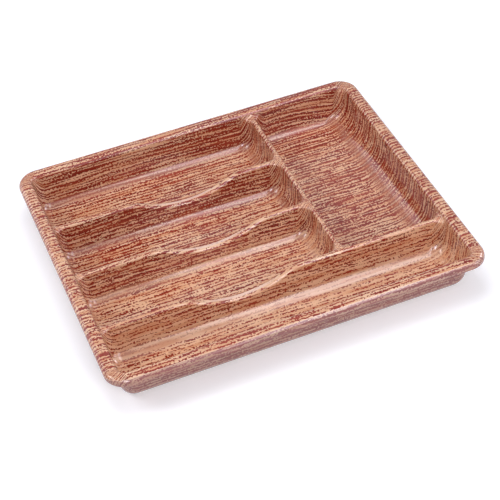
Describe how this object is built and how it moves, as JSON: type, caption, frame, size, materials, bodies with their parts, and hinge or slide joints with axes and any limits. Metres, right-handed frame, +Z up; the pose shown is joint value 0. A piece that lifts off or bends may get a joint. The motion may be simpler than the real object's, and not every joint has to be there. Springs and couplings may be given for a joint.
{
  "type": "cutlery tray",
  "caption": "Shallow wood-grain plastic cutlery tray with a rolled rim, scooped row dividers, a side compartment and a long front compartment, for sorting cutlery in a drawer",
  "frame": {"origin": "middle of the underside, on the surface the tray rests on", "axes": "+X along the rows to the side compartment, -Y to the long front compartment, +Z up"},
  "size_m": [0.36, 0.302, 0.041],
  "materials": {
    "wood_print": "glossy printed wood grain"
  },
  "bodies": {
    "root": {"rim": "wood_print", "row_1_compartment": "wood_print", "row_2_compartment": "wood_print", "row_3_compartment": "wood_print", "side_compartment": "wood_print", "front_compartment": "wood_print", "row_divider_1": "wood_print", "row_divider_2": "wood_print", "front_divider": "wood_print", "cross_divider": "wood_print"}
  },
  "joints": []
}
